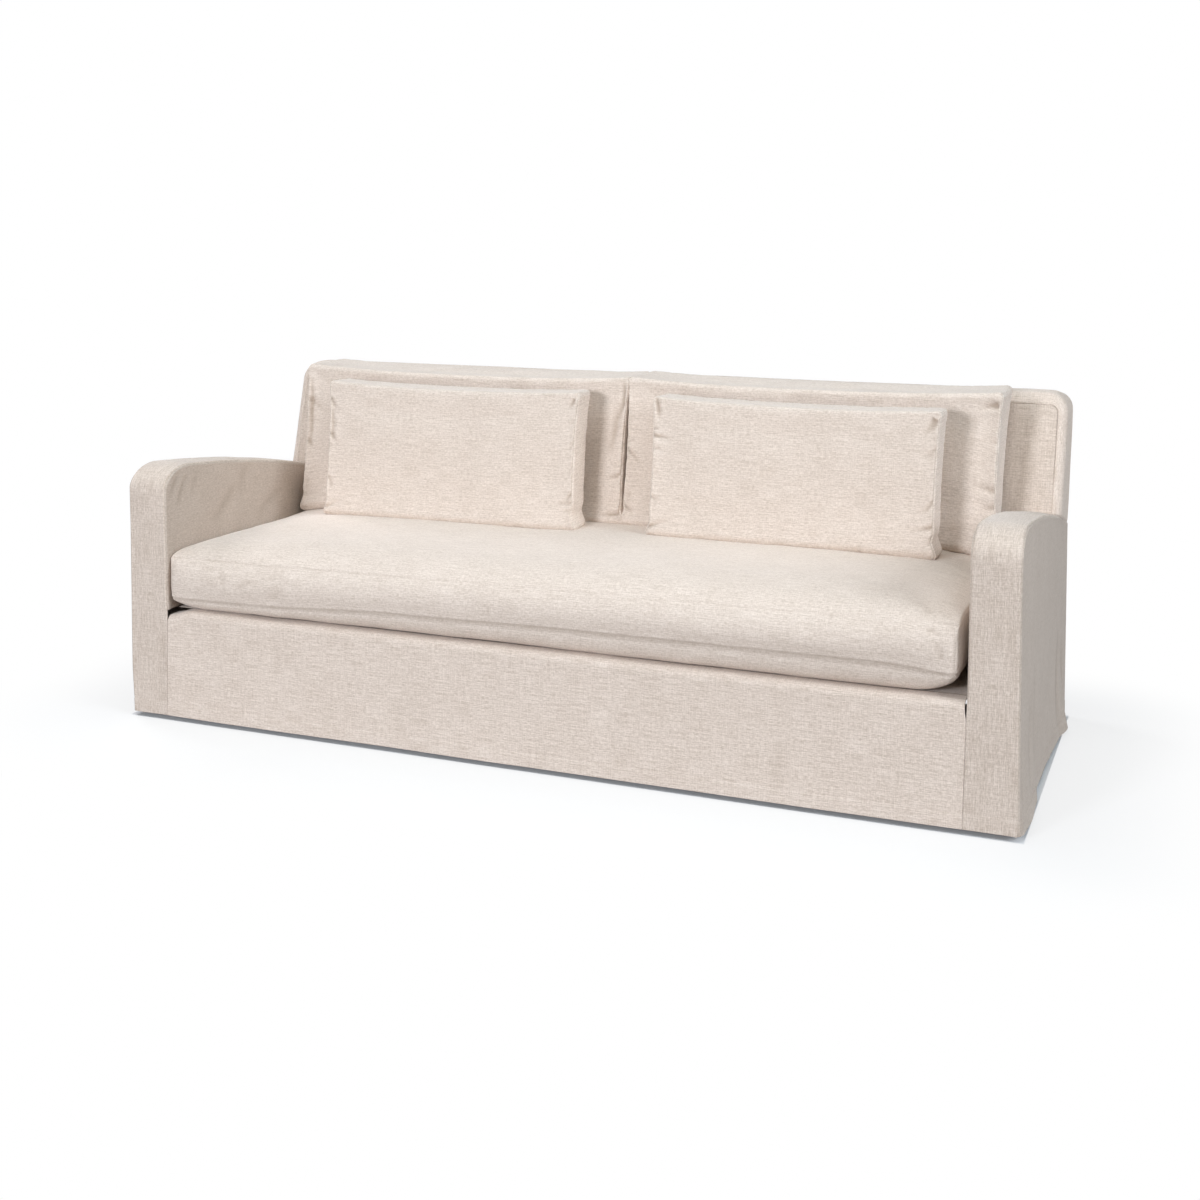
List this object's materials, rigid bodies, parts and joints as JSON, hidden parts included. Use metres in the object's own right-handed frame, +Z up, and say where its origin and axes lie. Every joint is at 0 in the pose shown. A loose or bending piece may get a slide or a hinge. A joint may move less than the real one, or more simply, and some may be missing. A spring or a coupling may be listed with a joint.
{
  "type": "sofa slipcover with its cushions",
  "caption": "Fitted linen sofa slipcover, hollow and open below, with boxed seat, back and lumbar cushions in the same cloth.",
  "frame": {"origin": "under the cloth at the middle of the cover's top, where the frame that it is fitted over holds it up", "axes": "+X along the cover's length to its right end seen from the front, +Y to the rear, +Z up"},
  "size_m": [2.2758, 0.9979, 0.8719],
  "materials": {
    "linen_light": "slubbed oatmeal linen, matt",
    "linen_shaded": "slubbed oatmeal linen, matt",
    "linen_cushion": "slubbed oatmeal linen, matt, filled"
  },
  "bodies": {
    "root": {"front_panel": "linen_light", "deck": "linen_shaded", "arm_band_left": "linen_light", "arm_band_right": "linen_light", "inside_arm_left": "linen_shaded", "inside_arm_right": "linen_shaded", "outside_arm_left": "linen_shaded", "outside_arm_right": "linen_shaded", "inside_back": "linen_light", "back_band": "linen_light", "outside_back": "linen_shaded", "seat_cushion": "linen_cushion", "back_cushion_left": "linen_cushion", "back_cushion_right": "linen_cushion", "lumbar_pillow_left": "linen_cushion", "lumbar_pillow_right": "linen_cushion"}
  },
  "joints": []
}
